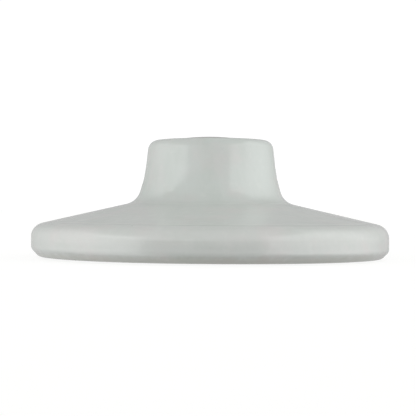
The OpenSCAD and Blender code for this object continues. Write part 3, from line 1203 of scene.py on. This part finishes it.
@dataclass
class Terminal:
    """The screw with its captive flat washer and toothed washer."""

    tip_z: float
    crown_z: float
    head_r: float
    head_z: float
    rim: float = 1.0
    socket_af: float = 5.0
    socket_depth: float = 3.4
    neck_r: float = 3.4
    neck_l: float = 2.3
    washer_bore_r: float = 3.65
    teeth: int = 10
    ring_width: float = 1.5
    sheet_half: float = 0.2
    thread: Thread = Thread.M8
    per_pitch: int = 20

    @classmethod
    def from_frame(cls) -> "Terminal":
        """Takes the screw's heights and the head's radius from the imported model."""
        return cls(*span_mm("terminal_screw"), head_z=span_mm("lock_washer")[1] + 0.05)

    def build_screw(self) -> bpy.types.Object:
        """The screw as one surface, from its socket's floor over the dome and down the thread to its tip.

        The dome is a shallow parabola over the head. On the shank the radius is the thread's root plus its
        depth times the ridge. It grows from the neck, and a cone takes the corner off the tip.

        Returns:
            The piece.
        """
        theta = round_angles(120)
        crown, under = self.crown_z, self.head_z
        floor = crown - self.socket_depth
        socket = hexagon(theta, self.socket_af, 0.08)
        mouth_r = self.socket_af / 2 / math.cos(math.pi / 6) + 0.25
        rise = crown + 0.05 - (under + self.rim)
        dome_r = np.linspace(mouth_r, self.head_r - 0.3, 16)
        dome_z = under + self.rim + rise * (1 - (dome_r / self.head_r) ** 2)
        rim = outline([
            (dome_r[-1], dome_z[-1], 0),
            (self.head_r, under + self.rim - 0.02, 0.3),
            (self.head_r, under, 0.15),
            (self.neck_r, under, 0.2),
            (self.neck_r, under - self.neck_l, 0),
        ], 1.2, ARC_STEP)[1:]
        head_r, head_z = level_rows(theta, [
            (0.0, floor - 0.5),
            (1.2, floor - 0.25),
            (socket * 0.97, floor),
            (socket, floor + 0.2),
            (socket, dome_z[0] - 1.2),
            (socket, dome_z[0] - 0.35),
            (mouth_r - 0.06, dome_z[0] - 0.05),
            *zip(dome_r, dome_z),
            *rim,
        ])
        start, tip = under - self.neck_l - 0.05, self.tip_z + 0.12
        turns = int((start - tip) / self.thread.pitch * self.per_pitch)
        thread_z = np.linspace(start, tip, turns)[:, None]
        grown = 0.25 + 0.75 * np.clip((start - thread_z) / 0.4, 0, 1)
        root = self.thread.radius - self.thread.depth
        ridge = thread_ridge(theta, thread_z, self.thread.pitch)
        shank = root + ridge * (self.thread.depth - 0.05) * grown
        point = np.minimum(shank, root - 0.3 + (thread_z - self.tip_z) * 1.2)
        tip_r, tip_z = level_rows(theta, [(root - 0.6, self.tip_z + 0.02), (0.0, self.tip_z)])
        radius = np.concatenate([head_r, point, tip_r])
        height = np.concatenate([head_z, thread_z, tip_z])
        return turned_piece("domed_terminal_screw", theta, radius, height)

    def build_flat_washer(self) -> bpy.types.Object:
        """A loop of the washer's section, rolled over at the top edge as a punch leaves it, carried round."""
        low, high, outer = span_mm("wire_washer")
        loop = outline([
            (self.washer_bore_r, low, 0.12),
            (outer, low, 0.12),
            (outer, high, 0.35),
            (self.washer_bore_r, high, 0.3),
        ], 1.0, ARC_STEP, closed=True)
        return ring_piece("flat_wire_washer", loop, 144)

    def build_toothed_washer(self) -> bpy.types.Object:
        """A ring with teeth twisted out of its plane.

        The inner radius follows a rounded square wave of the angle. A point inside the plain ring
        is raised or lowered by its distance from the ring times its place across the tooth.

        Returns:
            The piece.
        """
        low, high, outer = span_mm("lock_washer")
        middle, half = (low + high) / 2, self.sheet_half
        theta = round_angles(self.teeth * 36)
        ring_r = outer - self.ring_width
        turn = np.mod(theta * self.teeth / (2 * math.pi) + 0.5, 1) - 0.5
        tooth = 1 / (1 + np.exp((np.abs(turn) - 0.3) * 60))
        inner = ring_r + (self.washer_bore_r + 0.05 - ring_r) * tooth
        section = outline([(0.0, -half, 0.06), (1.0, -half, 0.06), (1.0, half, 0.06), (0.0, half, 0.06)],
                          0.12, 2 * ARC_STEP, closed=True)
        radius = inner + (outer - inner) * section[:, :1]
        reach = np.clip((ring_r - radius) / (ring_r - self.washer_bore_r), 0, 1)
        height = middle + section[:, 1:] + reach * np.clip(turn / 0.3, -1, 1) * (high - low - 2 * half) / 2
        return turned_piece("toothed_lock_washer", theta, radius, height, ring=True)

    def assemble(self) -> None:
        """Builds the screw and its two washers, dresses them, ties them to their bodies and hides their
        nodes.
        """
        stainless = TumbledStainless().material()
        screw = self.build_screw()
        nickel = SatinNickel().material(self.head_r)
        place_piece(screw, nickel, Body.SCREW, "terminal_screw")
        place_piece(self.build_flat_washer(), stainless, Body.WASHERS, "wire_washer")
        place_piece(self.build_toothed_washer(), stainless, Body.WASHERS, "lock_washer")


# ---- Studio ----


@dataclass(frozen=True)
class SoftBank:
    """A soft light, as a window of directions in degrees with faded edges.

    Bearings are measured from straight before the object round to the light's own side, and climbs from
    the floor up. The top edge climbs with the bearing by top_slant, as a square panel's does when it is
    seen from its middle.
    """

    side: int
    near: float
    far: float
    far_fade: float
    top: float
    foot: float
    radiance: float
    near_fade: float = 2.5
    top_slant: float = 0.28
    top_fade: float = 1.4
    foot_fade: float = 18.0

    def glow(self, bearing: Value, climb: Value) -> Value:
        """Radiance of the bank in a direction, a product of smooth steps in bearing and in climb.

        Args:
            bearing: Angle from -Y, positive towards +X.
            climb: Angle above the floor.

        Returns:
            The radiance.
        """
        round_to = bearing * self.side
        across = round_to.step(self.near - self.near_fade, self.near + self.near_fade)
        across = across * round_to.step(self.far + self.far_fade, self.far)
        lowered = climb - round_to * self.top_slant
        upright = lowered.step(self.top + self.top_fade, self.top - self.top_fade)
        return across * upright * climb.step(self.foot - self.foot_fade, self.foot) * self.radiance


@dataclass
class Studio:
    """White paper and backdrop, pale air, three soft lights and a level camera.

    Bearings and climbs are in degrees; a pair is where a smooth step starts and where it ends.
    """

    distance: float = 0.360
    eye_height: float = 0.01415
    aside: float = -0.00062
    roll: float = 0.33
    field: float = 0.1171
    backdrop_r: float = 5.5
    backdrop_glow: float = 1.05
    below_gasket: float = 0.00002
    floor_glow: float = 0.86
    air_front: float = 1.16
    air_back: float = 0.68
    air_top: float = 0.62
    air_below: float = 0.40
    air_below_left: float = 0.66
    air_below_back: float = 0.85
    front_floor: float = 0.12
    paper: ClassVar[Colour] = (0.16, 0.16, 0.1585)
    paper_shade: ClassVar[Colour] = (0.15, 0.15, 0.1485)
    banks: ClassVar[tuple[SoftBank, ...]] = (
        SoftBank(-1, 43, 70, 64, 11.5, -48, 1.42),
        SoftBank(1, 35, 82, 60, 20.5, -16, 1.42, top_slant=0.33),
        SoftBank(-1, -8, 66, 20, 14.5, 15, 0.62, near_fade=9.0, top_slant=0.22, top_fade=2.0,
                 foot_fade=6.0),
    )
    front_bearings: ClassVar[tuple[float, float]] = (150.0, 40.0)
    back_bearings: ClassVar[tuple[float, float]] = (70.0, 120.0)
    left_bearings: ClassVar[tuple[float, float]] = (20.0, -60.0)
    floor_bearings: ClassVar[tuple[float, float]] = (62.0, 28.0)
    top_climbs: ClassVar[tuple[float, float]] = (28.0, 70.0)
    below_climbs: ClassVar[tuple[float, float]] = (-2.0, -40.0)
    floor_climbs: ClassVar[tuple[float, float]] = (1.0, -2.0)

    def build_floor(self) -> None:
        """A wide flat sheet of white paper, a hair below the gasket."""
        half = self.backdrop_r
        points = np.array([[-half, -half, 0], [half, -half, 0], [half, half, 0], [-half, half, 0]])
        mesh = bpy.data.meshes.new("paper_floor")
        mesh.from_pydata((points - [0, 0, self.below_gasket]).tolist(), [], [[0, 1, 2, 3]])
        g = Finish("white_paper")
        colour = g.mix(self.paper, self.paper_shade, g.noise(0.08, 3.0, 0.5))
        glow = (1.0, 1.0, 0.995, 1.0)
        mesh.materials.append(g.finish(Base_Color=colour, Roughness=0.95, Specular_IOR_Level=0.1,
                                       Emission_Color=glow, Emission_Strength=self.floor_glow))
        self.place_stage(mesh)

    def build_backdrop(self) -> None:
        """A white dome, which only the camera sees: elevation by azimuth on a grid."""
        rows, columns = 19, 48
        climbs = np.radians(np.linspace(-90, 90, rows))
        elevation, azimuth = np.meshgrid(climbs, round_angles(columns), indexing="ij")
        level = np.cos(elevation) * self.backdrop_r
        points = np.stack([level * np.cos(azimuth), level * np.sin(azimuth),
                           np.sin(elevation) * self.backdrop_r], axis=-1).reshape(-1, 3)
        quads = grid_faces(rows, columns, True)[0][:(rows - 1) * columns]
        mesh = bpy.data.meshes.new("white_backdrop")
        mesh.from_pydata(points.tolist(), [], quads.tolist())
        material = bpy.data.materials.new(mesh.name)
        material.use_nodes = True
        mesh.materials.append(material)
        g = Graph(material.node_tree)
        glow = g.node("ShaderNodeEmission", None, {"Strength": self.backdrop_glow})
        g.link(glow, "ShaderNodeOutputMaterial")
        self.place_stage(mesh)

    @staticmethod
    def place_stage(mesh: bpy.types.Mesh) -> None:
        """Puts a stage mesh in the scene where the camera sees it and no other ray does."""
        made = bpy.data.objects.new(mesh.name, mesh)
        bpy.context.scene.collection.objects.link(made)
        made.visible_diffuse = made.visible_glossy = made.visible_transmission = made.visible_shadow = False

    def build_light(self) -> None:
        """The light of the room, as a function of direction.

        Air at the level of the floor goes from front to back with the bearing. It fades to the top's above
        and to the paper's bounce below, which differs to the left, to the right and at the back. A
        darker stretch of floor lies in front. The soft lights are added to it.
        """
        world = bpy.data.worlds.new("studio_light")
        world.use_nodes = True
        g = Graph(world.node_tree)
        way = g.node("ShaderNodeTexCoord", output="Generated")
        x, y, z = (g.node("ShaderNodeSeparateXYZ", None, {0: way}, axis) for axis in "XYZ")
        degrees = 180 / math.pi
        climb = g.node("ShaderNodeMath", {"operation": "ARCSINE"}, {0: z}) * degrees
        bearing = g.node("ShaderNodeMath", {"operation": "ARCTAN2"}, {0: x, 1: -1.0 * y}) * degrees
        turned = bearing * bearing
        ahead = self.squared_step(turned, self.front_bearings)
        air = self.air_back + ahead * (self.air_front - self.air_back)
        air = air + climb.step(*self.top_climbs) * (self.air_top - air)
        left = bearing.step(*self.left_bearings)
        below = self.air_below + left * (self.air_below_left - self.air_below)
        below = below + self.squared_step(turned, self.back_bearings) * (self.air_below_back - below)
        air = air + climb.step(*self.below_climbs) * (below - air)
        in_front = self.squared_step(turned, self.floor_bearings) * climb.step(*self.floor_climbs)
        air = air + in_front * (self.front_floor - air)
        for bank in self.banks:
            air = air + bank.glow(bearing, climb)
        g.link(g.node("ShaderNodeBackground", None, {"Strength": air}), "ShaderNodeOutputWorld")
        bpy.context.scene.world = world

    @staticmethod
    def squared_step(turned: Value, bearings: tuple[float, float]) -> Value:
        """A smooth step of the squared bearing, the same on both sides, between two bearings."""
        return turned.step(bearings[0] ** 2, bearings[1] ** 2)

    def build_camera(self) -> None:
        """A long lens level with the disc, looking along +Y and rolled by a fraction of a degree."""
        data = bpy.data.cameras.new("camera")
        data.sensor_width = 36.0
        data.lens = data.sensor_width * self.distance / self.field
        data.clip_start = 0.01
        camera = bpy.data.objects.new("camera", data)
        camera.matrix_world = (
            Matrix.Translation((self.aside, -self.distance, self.eye_height))
            @ Euler((math.pi / 2, 0, 0)).to_matrix().to_4x4()
            @ Matrix.Rotation(math.radians(self.roll), 4, "Z")
        )
        bpy.context.scene.collection.objects.link(camera)
        bpy.context.scene.camera = camera

    def assemble(self) -> None:
        """Builds the camera, the floor, the backdrop and the light."""
        self.build_camera()
        self.build_floor()
        self.build_backdrop()
        self.build_light()


# ---- Putting it together ----


def main() -> None:
    """Builds the studio, then each sub-assembly."""
    logging.basicConfig(level=logging.INFO, format="%(name)s: %(message)s")
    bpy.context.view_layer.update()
    bpy.context.scene.view_settings.view_transform = "Standard"

    Studio().assemble()
    porcelain = Porcelain.from_frame()
    porcelain.assemble()
    brass, cement, cork = TurnedBrass().material(), SetCement().material(), PressedCork().material()
    for bush in (CementedBush.base(porcelain), CementedBush.head(porcelain)):
        bush.assemble(brass, cement, cork)
    Gasket.from_frame(porcelain).assemble()
    Terminal.from_frame().assemble()


if __name__ == "__main__":
    main()
